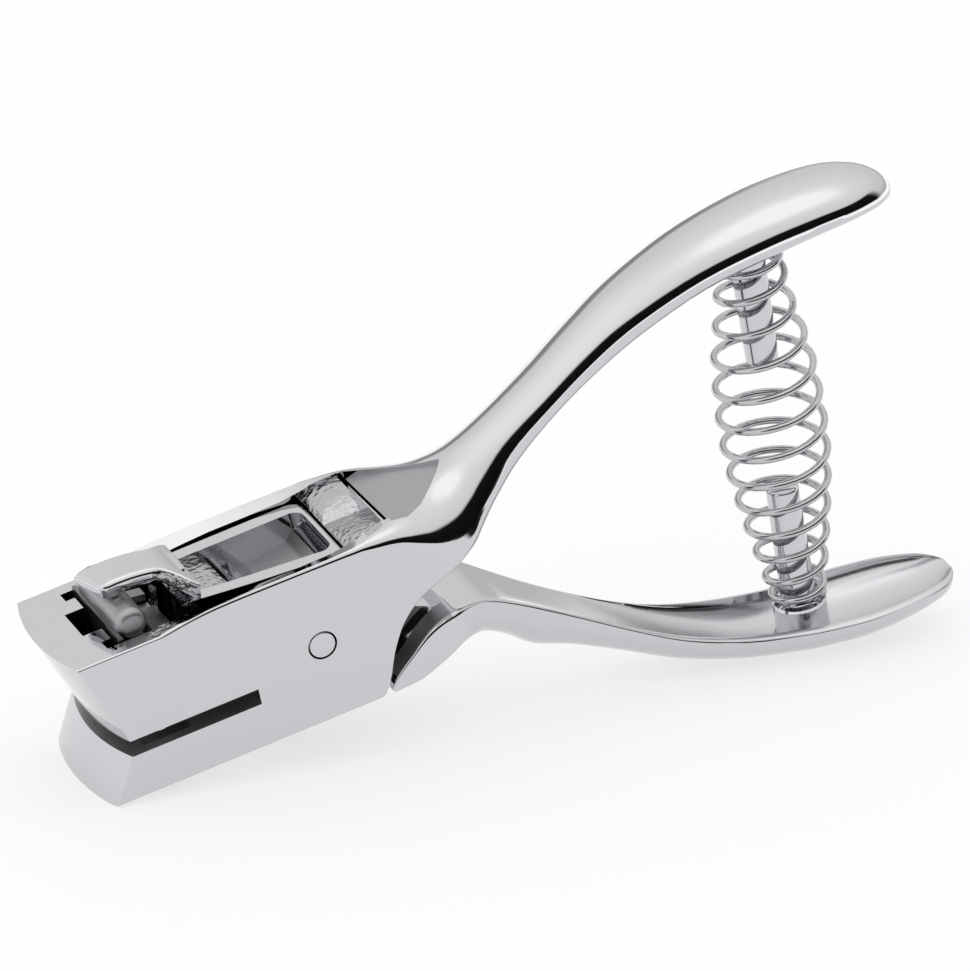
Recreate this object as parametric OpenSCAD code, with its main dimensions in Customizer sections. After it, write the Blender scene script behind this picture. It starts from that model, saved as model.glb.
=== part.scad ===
// Hand-held slot punch: a plier of two die-cast halves that drives a slot-shaped punch through a die.
// Everything is laid out in the head's own frame, x to the rear from the toe, z up from the flat
// underside, and then tipped so that the toe and the belly of the lower handle stand on the ground.

/* [Head] */
// Width of the head across its cheeks
head_w = 21; // [20:0.5:24]
// Height of the jaws' top face over the flat underside
head_h = 21.6; // [21:0.2:23]
// Length of the flat underside, from the toe to the rear end
sole_l = 40; // [39.4:0.2:40.6]
// How far the nose bulges forward in plan
nose_bulge = 1.7; // [0.8:0.1:2.4]
// Half length of the straight edge under the toe that the tool stands on
toe_half = 8.5; // [7.5:0.5:9]
// Wall of each cheek beside the well
cheek_t = 2.3; // [1.8:0.1:2.6]
// Rise of the cheeks over the jaws' top face
cheek_rise = 1.2; // [0.6:0.1:1.8]
// Radius of the arched top rear corner of the cheeks
shoulder_r = 9; // [7:0.5:11]

/* [Throat] */
// Height of the lower jaw, up to the throat
lower_jaw_h = 6.3; // [5.6:0.1:7]
// Height of the throat that takes the card
throat_h = 2.3; // [1.5:0.1:2.6]
// Distance of the throat's end from the toe
throat_end = 23.9; // [20:0.1:25]
// How far the lower lip stands behind the toe
lip_back = 3.5; // [2.5:0.1:4.5]

/* [Punch and die] */
// Length of the punched slot
slot_l = 14; // [12:0.5:15]
// Width of the punched slot
slot_w = 3; // [2.4:0.1:4]
// Distance of the slot's centre line from the toe
slot_x = 11.1; // [10.6:0.1:11.6]
// Height of the punch's head block
punch_head_h = 3.6; // [3.2:0.1:4]
// Length of the punch's head block, front to rear
punch_head_l = 7.6; // [7:0.1:8]
// Diameter of the cross pin in the punch's head
cross_pin_d = 3.9; // [3.5:0.1:4.2]
// Height of the cross pin's centre over the jaws' top face at rest
cross_pin_rise = 1; // [0.6:0.1:1.4]
// Height of the guide wall over the throat
guide_t = 3; // [2.4:0.1:3.2]
// Thickness of the hardened die plate
die_t = 3; // [2:0.1:4]
// Rim of the die plate round its slot
die_rim = 1.9; // [1.2:0.1:2.2]
// Running clearance all round the punch in its guide
guide_gap = 0.06; // [0.03:0.01:0.1]

/* [Pivot] */
// Distance of the pivot from the toe
pivot_x = 33.7; // [33.4:0.1:34.2]
// Height of the pivot over the underside
pivot_z = 11.1; // [10.8:0.1:11.6]
// Diameter of the pivot pin
pivot_d = 4; // [3:0.1:5]
// Radius of the lever's hub round the pivot
hub_r = 6.6; // [5.6:0.1:6.8]
// Running clearance of the lever on the pivot pin
pivot_gap = 0.05; // [0.02:0.01:0.1]

/* [Lever arm] */
// Side play of the arm's flanks to the cheeks
arm_play = 1.4; // [1:0.1:1.8]
// Wall of the channel's two rails
rail_t = 1.6; // [1.2:0.1:2]
// Width of the claw that holds the cross pin
claw_w = 6; // [5:0.2:6.6]
// Height of the claw's top over the cross pin's centre
claw_rise = 5.05; // [4.7:0.05:5.5]
// Thickness of the claw's plate
claw_t = 1.6; // [1.4:0.1:1.9]
// Play of the cross pin between the claw's jaws, each side
claw_gap = 0.12; // [0.08:0.01:0.2]
// Upward slope of the claw at rest
claw_slope = 8.3; // [7:0.1:9.5]

/* [Upper handle] */
// Half width of the upper handle at its widest
upper_half_w = 7.1; // [6.4:0.1:8]
// Height of the upper handle's crown over its rim
upper_crown = 6.2; // [5.4:0.1:7]
// Wall of the upper handle's shell
upper_wall = 1.9; // [1.4:0.1:2.4]

/* [Lower handle] */
// Half width of the lower handle's dish at its widest
dish_half_w = 7.8; // [7:0.1:8.6]
// Depth of the dish's keel under its rim
dish_keel = 5.2; // [4.8:0.1:6]
// Wall of the dish
dish_wall = 1.6; // [1.2:0.1:2]

/* [Spring] */
// Diameter of the spring wire
wire_d = 0.95; // [0.7:0.05:1.1]
// Outer diameter of the spring at its belly
spring_d = 14.8; // [13:0.2:16]
// Outer diameter of the spring at its lower end
spring_low_d = 7.6; // [7.4:0.1:8.4]
// Outer diameter of the spring at its upper end
spring_top_d = 9.6; // [8.6:0.1:10]
// Turns of the spring
spring_turns = 13.5; // [10:0.5:14]
// Diameter of the two spring posts at their collar end
post_d = 4.8; // [4:0.1:5.2]
// Diameter of the collars that the spring sits on
collar_d = 7.3; // [6.8:0.1:7.6]
// Length of the lower post over its collar
low_post_l = 17.5; // [12:0.5:19]
// Length of the upper post under its collar
top_post_l = 17; // [12:0.5:20]

/* [Hidden] */
$fn = 64;

half_w = head_w / 2;
well_half = half_w - cheek_t;
over = 1;                                    // overshoot of cuts
fit_gap = 0.02;                              // gap of pressed pieces
casting = [0.78, 0.79, 0.81];
steel = [0.66, 0.67, 0.69];
bright = [0.86, 0.87, 0.88];
dark_steel = [0.5, 0.51, 0.53];

// Head heights
throat_top = lower_jaw_h + throat_h;
guide_top = throat_top + guide_t;
cheek_top = head_h + cheek_rise;
bulge_r = (half_w * half_w + nose_bulge * nose_bulge) / (2 * nose_bulge);
toe_x = bulge_r - sqrt(bulge_r * bulge_r - toe_half * toe_half);
toe_slope = 35;                              // slope of the chamfer under the toe
toe_corner = 0.7;                            // height of the chamfer at its two ends
nose_x = -0.7;                               // front of the upper jaw's top edge
upper_lip_x = 3.8;                           // front of the upper jaw at the throat
slope_back = atan2(upper_lip_x - nose_x, head_h - throat_top);
slope_lip = atan2(lip_back, lower_jaw_h);
shoulder_x = sole_l + 3;                     // centre of the cheeks' arched corner
shoulder_end_x = shoulder_x + 12.6;
root_z = 13.6;                               // underside of the bridge that carries the upper handle
bridge_x = sole_l + 0.8;                     // front of that bridge
bridge_top = cheek_top - 0.4;
bridge_l = 4.2;
groove_l = 1.3;
groove_d = 1.1;
well_x = 7.6;                                // front of the well, at the tabs between its notches
mid_notch_x = 4.9;
side_notch_x = 6.3;
mid_notch_half = claw_w / 2 + 0.2;           // lets the claw's nose in at the end of its travel
side_notch_w = 2;
web_x = throat_end + 2.7;                    // rear of the web between the two jaws
web_floor = guide_top - 1;

// Cross pin and punch
pin_r = cross_pin_d / 2;
pin_z = head_h + cross_pin_rise;
pin_half_l = well_half - 0.8;
trough_z = pin_z - pin_r;
head_front = slot_x - 3.1;
head_bottom = trough_z - punch_head_h;
trough_wall = slot_x - pin_r - head_front;
blade_rest = 0.15;                           // how far the blade's edge stays inside the guide at rest
die_play = 0.08;

// Claw, seen from the side, in a frame at the cross pin with u along the claw to the rear
claw_reach = pin_r + claw_gap;
claw_nose = 3.75;
claw_back = 5;
claw_root = 8.9;
claw_half = claw_w / 2;
claw_hook = 2.85;                            // depth of the nose under the claw's top
claw_skew = 1.7;                             // how far the nose's far corner stands before the near one
pad_half = claw_half - 0.5;                  // the pad under the plate that presses on the pin
arm_half = well_half - arm_play;
arm_front = slot_x + 6.8;
rail_top_front = pin_z + 0.2;
rail_top_rear = pin_z - 1.7;
hollow_front = arm_front + 2.4;
hollow_rear = sole_l - 0.8;
arm_rear = sole_l + 0.3;
boss_half = well_half - 0.2;
shoulder_gap = 0.3;
neck_x = sole_l + 22.5;                      // where the lower handle's neck is narrowest
neck_half = 5.2;
neck_r = 10.2;                               // radius of its flanks, in plan

// Stations along a handle: x of the middle of its rim behind the underside's rear end, its z, half width,
// depth from rim to crown or keel, width of the rim, depth of the hollow between the rims, and
// the section's roundness, from 0.5 for a soft box to 1 for an ellipse.
upper_rows_from_sole = [
    [7, 13.4, 10.2, 9.3, 0.8, -0.3, 0.5],
    [13, 13.1, 9.2, 10.1, 0.8, -0.3, 0.6],
    [18, 14.2, 7.3, 9.9, 0.8, -0.3, 0.75],
    [22.5, 17.8, 5.9, 7.5, 0.8, -0.3, 0.9],
    [27.5, 22, 5.1, 5.6, 0.8, -0.2, 0.9],
    [34, 26.4, 5, 4.6, 0.9, 0.1, 0.9],
    [41, 30.2, 5.3, 5, 1.2, 1.2, 0.9],
    [48, 33.3, 5.9, 5.5, upper_wall, 5.5 - upper_wall, 0.9],
    [57, 36.1, upper_half_w - 0.5, upper_crown - 0.4, upper_wall, upper_crown - 0.4 - upper_wall, 0.9],
    [66, 37.2, upper_half_w, upper_crown, upper_wall, upper_crown - upper_wall, 0.9],
    [73, 37.6, upper_half_w, upper_crown - 0.2, upper_wall, upper_crown - 0.2 - upper_wall, 0.9],
    [78.5, 37.5, upper_half_w - 0.5, upper_crown - 0.7, upper_wall, upper_crown - 0.7 - upper_wall, 0.9],
    [82.5, 37.1, upper_half_w - 1.9, upper_crown - 1.6, upper_wall, 1.4, 0.9],
    [84.9, 36.9, 3.3, 3.3, 1.5, 0.3, 0.9],
    [86.1, 36.8, 1.4, 1.7, 0.7, 0.1, 0.9]];
upper_rows = [for (r = upper_rows_from_sole) [sole_l + r[0], r[1], r[2], r[3], r[4], r[5], r[6]]];
upper_seat_row = 9;
lower_rows_from_sole = [
    [8, 7.2, 9.3, 7, 0.5, -0.4, 0.9],
    [12, 7.1, 8.2, 7, 0.5, -0.3, 0.9],
    [16, 6.1, 6.5, 7.5, 0.5, -0.2, 0.9],
    [21, 3.4, 5.5, 7.4, 0.5, 0.1, 0.9],
    [26.5, -0.9, 4.6, 6.1, 0.5, 0.1, 0.9],
    [32, -5, 4.4, 5, 0.6, 0.2, 0.9],
    [38, -9.2, 4.8, 4.5, 0.9, 0.8, 0.9],
    [44.5, -13, 5.7, 4.6, 1.4, 2, 0.9],
    [52, -16, dish_half_w - 1.3, dish_keel - 0.3, dish_wall, dish_keel - 0.3 - dish_wall, 0.9],
    [59, -17.9, dish_half_w - 0.8, dish_keel - 0.1, dish_wall, dish_keel - 0.1 - dish_wall, 0.9],
    [63.2, -18.7, dish_half_w - 0.4, dish_keel, dish_wall, dish_keel - dish_wall, 0.9],
    [69.5, -19.5, dish_half_w, dish_keel, dish_wall, dish_keel - dish_wall, 0.9],
    [76, -20.1, dish_half_w - 0.8, dish_keel - 0.6, dish_wall, dish_keel - 0.6 - dish_wall, 0.9],
    [80.5, -20.6, dish_half_w - 2.3, dish_keel - 1.5, dish_wall, dish_keel - 1.5 - dish_wall, 0.9],
    [82.5, -20.9, 4.1, 2.9, 1.6, 0.9, 0.9],
    [83.6, -21.1, 1.9, 1.6, 0.9, 0.2, 0.9]];
lower_rows = [for (r = lower_rows_from_sole) [sole_l + r[0], r[1], r[2], r[3], r[4], r[5], r[6]]];
lower_seat_row = 10;
row_steps = 3;                               // rings from one station to the next
arc_steps = 14;                              // strips round the outer arc
hollow_steps = 8;                            // strips round the hollow

// Spring axis, from the lower collar's face to the upper one
collar_h = 5;
collar_sink = 0.7;
foot_l = collar_h + collar_sink;
low_row = lower_rows[lower_seat_row];
top_row = upper_rows[upper_seat_row];
low_floor = [low_row[0] - 1.3, low_row[1] - low_row[5]];
top_roof = [top_row[0] - 0.5, top_row[1] + top_row[5]];
axis_lean = atan2(top_roof[0] - low_floor[0], top_roof[1] - low_floor[1]);
axis_dir = [sin(axis_lean), cos(axis_lean)];
low_seat = low_floor + collar_h * axis_dir;
top_seat = top_roof - collar_h * axis_dir;
seat_gap = 0.05;
spring_l = norm(top_seat - low_seat) - 2 * seat_gap;
end_pitch = 0.38;                            // pitch of the end turns, as a share of the others
pitch_growth = 0.25;                         // how much the pitch grows from the lower end to the upper
curl_rings = 8;
wire_sides = 6;

// A smooth curve through the rows of a table; u counts rows
function row_at(rows, u) =
    let (i = min(floor(u), len(rows) - 2), t = u - i, b = rows[i], c = rows[i + 1],
         a = i > 0 ? rows[i - 1] : 2 * b - c, d = i < len(rows) - 2 ? rows[i + 2] : 2 * c - b)
    (2 * b + (c - a) * t + (2 * a - 5 * b + 4 * c - d) * t * t + (3 * b - a - 3 * c + d) * t * t * t) / 2;

// The rim's heading at u, as a unit vector in x and z
function heading(rows, u) =
    let (last = len(rows) - 1, p = row_at(rows, max(u - 0.05, 0)), q = row_at(rows, min(u + 0.05, last)),
         v = [q[0] - p[0], q[1] - p[1]])
    v / norm(v);

// One ring of a handle: the outer arc from rim to rim, then the hollow back again.
// side is 1 where the hollow faces up and -1 where it faces down.
function handle_ring(rows, u, side) =
    let (r = row_at(rows, u), h = heading(rows, u), up = side * [-h[1], h[0]], inner = r[2] - r[4])
    concat(
        [for (k = [0 : arc_steps]) let (q = 180 * k / arc_steps,
            y = r[2] * sign(cos(q)) * pow(abs(cos(q)), r[6]), n = -r[3] * pow(sin(q), r[6]))
            [r[0] + n * up[0], y, r[1] + n * up[1]]],
        [for (k = [0 : hollow_steps]) let (q = 180 * k / hollow_steps,
            y = -inner * cos(q), n = -r[5] * pow(sin(q), 0.8))
            [r[0] + n * up[0], y, r[1] + n * up[1]]]);

function handle_rings(rows, side) =
    [for (k = [0 : (len(rows) - 1) * row_steps]) handle_ring(rows, k / row_steps, side)];

// Skins a list of equal rings and closes both ends with a fan
module skin(rings, flip) {
    n = len(rings[0]);
    m = len(rings);
    sides = [for (i = [0 : m - 2], j = [0 : n - 1], s = [0, 1]) let (a = i * n + j,
        b = i * n + (j + 1) % n) s == 0 ? [a, b, b + n] : [a, b + n, a + n]];
    mid_a = n * m;
    caps = [for (j = [0 : n - 1]) each [[mid_a, (j + 1) % n, j],
        [mid_a + 1, (m - 1) * n + j, (m - 1) * n + (j + 1) % n]]];
    centres = [for (r = [rings[0], rings[m - 1]])
        (r[arc_steps / 2] + r[arc_steps + 1 + hollow_steps / 2]) / 2];
    faces = concat(sides, caps);
    polyhedron(concat([for (r = rings) each r], centres),
               flip ? [for (f = faces) [f[2], f[1], f[0]]] : faces);
}

// Lowest points of the lower handle, and the tilt that puts them on the ground with the toe
keel_points = [for (r = handle_rings(lower_rows, 1)) [r[arc_steps / 2][0], r[arc_steps / 2][2]]];
tilt = max([for (p = keel_points) atan2(-p[1], p[0] - toe_x)]);
foot_rise = toe_x * sin(tilt);
front_end = nose_x * cos(tilt) - head_h * sin(tilt);
rear_end = max([for (r = handle_rings(lower_rows, 1), p = r) p[0] * cos(tilt) - p[2] * sin(tilt)]);

module placed() {
    translate([-(front_end + rear_end) / 2, 0, -foot_rise]) rotate([0, -tilt, 0]) children();
}

// Side outline [x, z] extruded across the object between -half and half
module slab(points, half) {
    translate([0, half, 0]) rotate([90, 0, 0]) linear_extrude(2 * half) polygon(points);
}

// Round bar across the object
module cross_bar(x, z, r, half) {
    translate([x, half, z]) rotate([90, 0, 0]) cylinder(r = r, h = 2 * half);
}

// Slot-shaped prism, long way across the object, standing on z from low to high
module slot_prism(length, width, low, high) {
    translate([slot_x, 0, low]) linear_extrude(high - low) union() {
        square([width, length - width], center = true);
        for (s = [-1, 1]) translate([0, s * (length - width) / 2]) circle(d = width);
    }
}

// Upright wall with a bulged front, leaning by lean degrees about the point x, z
module bulged_front(x, z, lean) {
    translate([x, 0, z]) rotate([0, -lean, 0]) translate([bulge_r, 0, -head_h * 2])
        cylinder(r = bulge_r, h = head_h * 4, $fn = 180);
}

// Side outline of the cheeks, from the toe round the rear and back over the top
cheek_outline = concat(
    [[-over, 0], [sole_l, 0], [sole_l + 0.9, 0.8], [sole_l + 1.4, 2.8], [sole_l + 2.5, 5.6],
     [sole_l + 4.1, 8.4], [sole_l + 6.2, 10.5], [sole_l + 8.8, 12], [sole_l + 12, 13.2],
     [shoulder_end_x, 14.6]],
    [for (q = [15 : 15 : 90]) [shoulder_x + 10.6 * cos(q) + 0.4, cheek_top - shoulder_r * (1 - sin(q))]],
    [[slot_x + 14.9, cheek_top + 0.1], [slot_x + 8.9, cheek_top], [slot_x + 0.9, head_h],
     [-2 * over, head_h]]);

module frame() color(casting) placed() {
    difference() {
        union() {
            difference() {
                slab(cheek_outline, half_w);
                front_trim();
            }
            skin(handle_rings(upper_rows, -1), true);
        }
        well();
        bridge_top_cuts();
        throat();
        slot_prism(slot_l + 2 * guide_gap, slot_w + 2 * guide_gap, lower_jaw_h + over, guide_top + over);
        die_pocket();
        cross_bar(pivot_x, pivot_z, pivot_d / 2 + fit_gap, half_w + over);
        for (s = [-1, 1]) translate([pivot_x, s * (half_w - 0.2), pivot_z]) rotate([-90 * s, 0, 0])
            cylinder(r = pivot_d / 2 + 0.2, h = over);
        post_recess(top_seat, -1);
    }
}

// What lies in front of the two leaning, bulged jaw fronts
module front_trim() {
    difference() {
        translate([-20, -half_w - over, throat_top - throat_h / 2])
            cube([20 + slot_x, head_w + 2 * over, head_h]);
        bulged_front(nose_x, head_h, slope_back);
    }
    difference() {
        translate([-20, -half_w - over, -over])
            cube([20 + slot_x, head_w + 2 * over, over + throat_top - throat_h / 2]);
        bulged_front(0, 0, -slope_lip);
    }
    slab([[toe_x, 0], [toe_x - 5, 5 * tan(toe_slope)], [-20, 5 * tan(toe_slope)], [-20, -over],
          [toe_x, -over]], half_w + over);
    for (s = [-1, 1]) translate([-over, 0, 0]) rotate([90, 0, 90]) linear_extrude(over + 2 * lip_back)
        polygon([[s * toe_half, -over], [s * toe_half, 0],
                 [s * (half_w + over), toe_corner * (half_w + over - toe_half) / (half_w - toe_half)],
                 [s * (half_w + over), -over]]);
}

module throat() {
    translate([-over, -half_w - over, lower_jaw_h]) cube([throat_end + over, head_w + 2 * over, throat_h]);
}

// The well between the cheeks, open at the top and behind the web open at the bottom
module well() {
    slab([[well_x, head_h * 2], [well_x, guide_top], [slot_x + 8.4, guide_top], [slot_x + 8.4, web_floor],
          [web_x, web_floor], [web_x, -over], [sole_l + 20, -over], [sole_l + 20, root_z - 2.2],
          [bridge_x + 8, root_z - 0.6], [bridge_x + 4, root_z], [bridge_x, root_z],
          [bridge_x, head_h * 2]], well_half);
    translate([mid_notch_x, -mid_notch_half, guide_top]) cube([well_x, 2 * mid_notch_half, head_h]);
    for (s = [-1, 1]) translate([side_notch_x, s * (well_half - side_notch_w / 2) - side_notch_w / 2,
        guide_top]) cube([well_x, side_notch_w, head_h]);
}

// Top of the bridge: a low face, a cross groove, and a flat recess that runs out in the handle's crown
module bridge_top_cuts() {
    slab([[bridge_x - over, bridge_top - 1.4], [bridge_x, bridge_top - 0.9],
          [bridge_x + 1.6, bridge_top - 0.2],
          [bridge_x + bridge_l, bridge_top + 0.1],
          [bridge_x + bridge_l, bridge_top - groove_d],
          [bridge_x + bridge_l + groove_l, bridge_top - groove_d],
          [bridge_x + bridge_l + groove_l, bridge_top - 0.1], [sole_l + 18.5, bridge_top + 1.8],
          [sole_l + 18.5, 2 * head_h], [bridge_x - over, 2 * head_h]], well_half - 0.6);
}

module die_pocket() {
    translate([slot_x - slot_w / 2 - die_rim - fit_gap, -slot_l / 2 - die_rim - fit_gap, lower_jaw_h - die_t])
        cube([slot_w + 2 * die_rim + 2 * fit_gap, slot_l + 2 * die_rim + 2 * fit_gap, die_t + over]);
    slot_prism(slot_l + 1, slot_w + 1, -over, lower_jaw_h);
}

module die_plate() color(dark_steel) placed() {
    difference() {
        translate([slot_x - slot_w / 2 - die_rim, -slot_l / 2 - die_rim, lower_jaw_h - die_t])
            cube([slot_w + 2 * die_rim, slot_l + 2 * die_rim, die_t]);
        slot_prism(slot_l + 2 * die_play, slot_w + 2 * die_play,
                   lower_jaw_h - die_t - over, lower_jaw_h + over);
    }
}

module punch() color(steel) placed() {
    difference() {
        union() {
            slot_prism(slot_l, slot_w, throat_top + blade_rest, head_bottom + over);
            slab([[head_front, head_bottom], [head_front, trough_z + 1.7],
                  [head_front + trough_wall - 0.3, trough_z + 1.7],
                  [head_front + trough_wall, trough_z + 1.4], [head_front + trough_wall, trough_z],
                  [slot_x + pin_r, trough_z], [slot_x + pin_r, trough_z + 0.8],
                  [head_front + punch_head_l, trough_z + 0.3], [head_front + punch_head_l, head_bottom]],
                 well_half - 0.3);
        }
        translate([slot_x - pin_r - 0.2, -claw_half - 0.3, head_bottom + 0.6])
            cube([punch_head_l, claw_w + 0.6, punch_head_h * 2]);
    }
}

// Bar with rounded ends that lies in the trough of the punch's head
module cross_pin() color(steel) placed() {
    end_round = 0.9;
    end_r = pin_r - fit_gap - end_round;
    end_y = pin_half_l - end_round;
    translate([slot_x, 0, pin_z]) rotate([90, 0, 0]) rotate_extrude()
        polygon(concat([[0, -pin_half_l]],
            [for (q = [-90 : 15 : 0]) [end_r + end_round * cos(q), -end_y + end_round * sin(q)]],
            [for (q = [0 : 15 : 90]) [end_r + end_round * cos(q), end_y + end_round * sin(q)]],
            [[0, pin_half_l]]));
}

module pivot_pin() color(bright) placed() {
    r = pivot_d / 2;
    translate([pivot_x, 0, pivot_z]) rotate([90, 0, 0]) rotate_extrude()
        polygon([[0, -half_w], [r - 0.25, -half_w], [r, -half_w + 0.25], [r, half_w - 0.25],
                 [r - 0.25, half_w], [0, half_w]]);
}

// Claw: a plate with a hooked nose, the pad under it, and the lower jaw behind and under the pin.
// Its side outlines are in its own frame at the cross pin.
plate_low = claw_rise - claw_t;
plate_outline = [[-claw_nose, claw_rise - 1.65], [-claw_nose + 0.35, claw_rise - 1.1],
    [-claw_nose + 1.2, claw_rise - 0.65], [2.2, claw_rise], [4.7, claw_rise - 0.05],
    [5.9, claw_rise - 0.35], [7.6, claw_rise - 1.1], [claw_root, claw_rise - 1.85], [claw_root, 0],
    [claw_back + 1.5, plate_low - 2.2], [claw_back + 0.4, plate_low - 0.6], [claw_back - 0.4, plate_low],
    [0, plate_low], [0, plate_low - 0.6], [-0.6, claw_rise - claw_hook],
    [-claw_nose + 0.7, claw_rise - claw_hook], [-claw_nose + 0.1, claw_rise - claw_hook + 0.5]];

// The plate from above, in the head's frame: a skewed nose, straight flanks and a root that widens
plate_plan = [[slot_x - 3.5, claw_half], [slot_x - 3.5 + claw_skew, -claw_half], [slot_x + 5.3, -claw_half],
    [slot_x + 7.5, -claw_half - 1.2], [slot_x + 10, -arm_half + 0.8], [slot_x + 10, arm_half - 0.8],
    [slot_x + 7.5, claw_half + 1.2], [slot_x + 5.3, claw_half]];

module claw_slab(points, half) {
    translate([slot_x, 0, pin_z]) rotate([0, claw_slope, 0]) slab(points, half);
}

module claw() {
    intersection() {
        claw_slab(plate_outline, arm_half);
        linear_extrude(2 * head_h) polygon(plate_plan);
    }
    claw_slab([[-1.9, plate_low + 0.2], [-1.9, claw_reach + 0.3], [-1.6, claw_reach],
               [claw_back - 0.8, claw_reach], [claw_back, claw_reach - 0.8], [claw_root, claw_reach - 0.8],
               [claw_root, plate_low + 0.2]], pad_half);
    claw_slab([[claw_back, claw_reach], [claw_back, -claw_reach + 0.5], [claw_back - 0.5, -claw_reach],
               [-0.1, -claw_reach], [-0.1, -claw_reach - 1.2], [claw_root, -claw_reach - 2.6],
               [claw_root, claw_reach]], claw_half);
}

// Side outline of the arm between the cheeks
arm_outline = concat(
    [[arm_front, rail_top_front], [arm_rear - 1, rail_top_rear], [arm_rear, rail_top_rear - 0.9],
     [arm_rear + 0.1, root_z], [arm_rear + 0.6, root_z - 1.7], [sole_l + 6, 9.5], [sole_l + 10, 7.9],
     [sole_l + 10, 4], [sole_l + 4, 1.8],
     [sole_l + 1.6, 1.4]],
    [for (q = [-60 : -15 : -165]) [pivot_x + hub_r * cos(q), pivot_z + hub_r * sin(q)]],
    [[pivot_x - hub_r + 0.4, pivot_z + 2.4], [arm_front + 6.7, 14.4], [arm_front + 0.1, 17.4]]);

// Hollow of the channel, seen from the side
hollow_outline = [[hollow_front, rail_top_front + over], [hollow_front + 0.5, rail_top_front - 1.6],
    [arm_front + 7.1, 18.4], [pivot_x, 17.3], [hollow_rear - 2.2, 18], [hollow_rear - 0.6, 19.4],
    [hollow_rear, rail_top_rear + over]];

module lever() color(casting) placed() {
    difference() {
        union() {
            slab(arm_outline, arm_half);
            claw();
            cross_bar(pivot_x, pivot_z, hub_r - 0.6, boss_half);
            lever_shoulder();
            difference() {
                skin(handle_rings(lower_rows, 1), false);
                shoulder_front_cut();
            }
        }
        slab(hollow_outline, arm_half - rail_t);
        cross_bar(pivot_x, pivot_z, pivot_d / 2 + pivot_gap, half_w);
        post_recess(low_seat, 1);
    }
}

// Side outline of the shoulder that follows the rear edge of the cheeks
shoulder_front = [[sole_l + 1.2 + shoulder_gap, 0.5], [sole_l + 2.5, 2.1], [sole_l + 5.4, 4.4],
    [sole_l + 7.4, 6.2], [sole_l + 8.9, 7.4]];

// The rest of that outline, over the neck and back under the shoulder, from the underside's rear end
shoulder_back = [[11, 7.9], [16, 6.5], [20, 3.7], [20, -1.5], [15, 1.2], [12.5, 2.8], [10.9, 2.2], [8.6, 0.9],
    [6, 0.1], [3.6, 0], [1.9, 0.1]];

module lever_shoulder() {
    difference() {
        slab(concat(shoulder_front, [for (p = shoulder_back) [sole_l + p[0], p[1]]]), half_w);
        for (s = [-1, 1]) translate([neck_x, s * (neck_half + neck_r), -10]) cylinder(r = neck_r, h = 30);
    }
}

module shoulder_front_cut() {
    slab([for (p = [[4, -10], [6.5, 4.4], [8.2, 6.2], [9.3, 7.2], [11.4, 7.7], [11.4, 20], [0, 20], [0, -10]])
          [sole_l + p[0], p[1]]], half_w + over);
}

// Round recess in a handle that takes the foot of a spring post, at the collar's far end
module post_recess(seat, way) {
    translate([seat[0], 0, seat[1]]) rotate([0, axis_lean + (way > 0 ? 180 : 0), 0])
        cylinder(r = collar_d / 2 + fit_gap, h = foot_l);
}

// Post with a collar at its foot; way is 1 for the lower post and -1 for the upper one
module spring_post(seat, length, way) {
    translate([seat[0], 0, seat[1]]) rotate([0, axis_lean + (way > 0 ? 0 : 180), 0]) rotate_extrude()
        polygon([[0, -foot_l], [collar_d / 2, -foot_l], [collar_d / 2, -0.2], [collar_d / 2 - 0.2, 0],
                 [post_d / 2, 0], [post_d / 2 - 0.25, length - 0.4], [post_d / 2 - 0.65, length],
                 [0, length]]);
}

module lower_spring_post() color(bright) placed() spring_post(low_seat, low_post_l, 1);

module upper_spring_post() color(bright) placed() spring_post(top_seat, top_post_l, -1);

// Spring: outer diameters along its height, from the lower end to the upper one
spring_rows = [[spring_low_d], [spring_low_d + 2.8], [spring_d - 1.9], [spring_d - 0.1], [spring_d],
               [spring_d - 1.1], [spring_d - 3.8], [spring_top_d]];
curls = floor(spring_turns * curl_rings);
function turn_share(k) =
    let (near_end = min(k, curls - k) / curl_rings, t = min(max((near_end - 0.8) / 0.5, 0), 1))
    end_pitch + (1 + pitch_growth * (k / curls - 0.5) - end_pitch) * t * t * (3 - 2 * t);
shares = [for (k = [0 : curls - 1]) turn_share(k + 0.5)];
share_sum = [for (k = 0, s = 0; k <= curls; s = s + (k < curls ? shares[k] : 0), k = k + 1) s];
rise_per_share = (spring_l - wire_d) / share_sum[curls];
spring_start = -39;                          // bearing of the wire's lower end

function spring_centre(k) =
    let (rise = share_sum[k] * rise_per_share,
         r = row_at(spring_rows, (len(spring_rows) - 1) * rise / (spring_l - wire_d))[0] / 2 - wire_d / 2,
         q = spring_start + 360 * k / curl_rings)
    [r * cos(q), r * sin(q), rise + wire_d / 2];
spring_line = [for (k = [0 : curls]) spring_centre(k)];

// Ring of the wire round point k of the spring's line
function wire_ring(k) =
    let (p = spring_line[k], q = spring_start + 360 * k / curl_rings, out = [cos(q), sin(q), 0],
         along = [-sin(q), cos(q), 0], lift = [0, 0, 1])
    [for (j = [0 : wire_sides - 1]) let (w = 360 * j / wire_sides)
        p + wire_d / 2 * (cos(w) * out + sin(w) * lift)];

// Least gap from one turn to the next, on the points of the wire
turn_gap = min([for (k = [0 : curls - curl_rings])
    norm(spring_line[k + curl_rings] - spring_line[k])]) - wire_d;
echo(spring_turn_gap = turn_gap);

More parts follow.
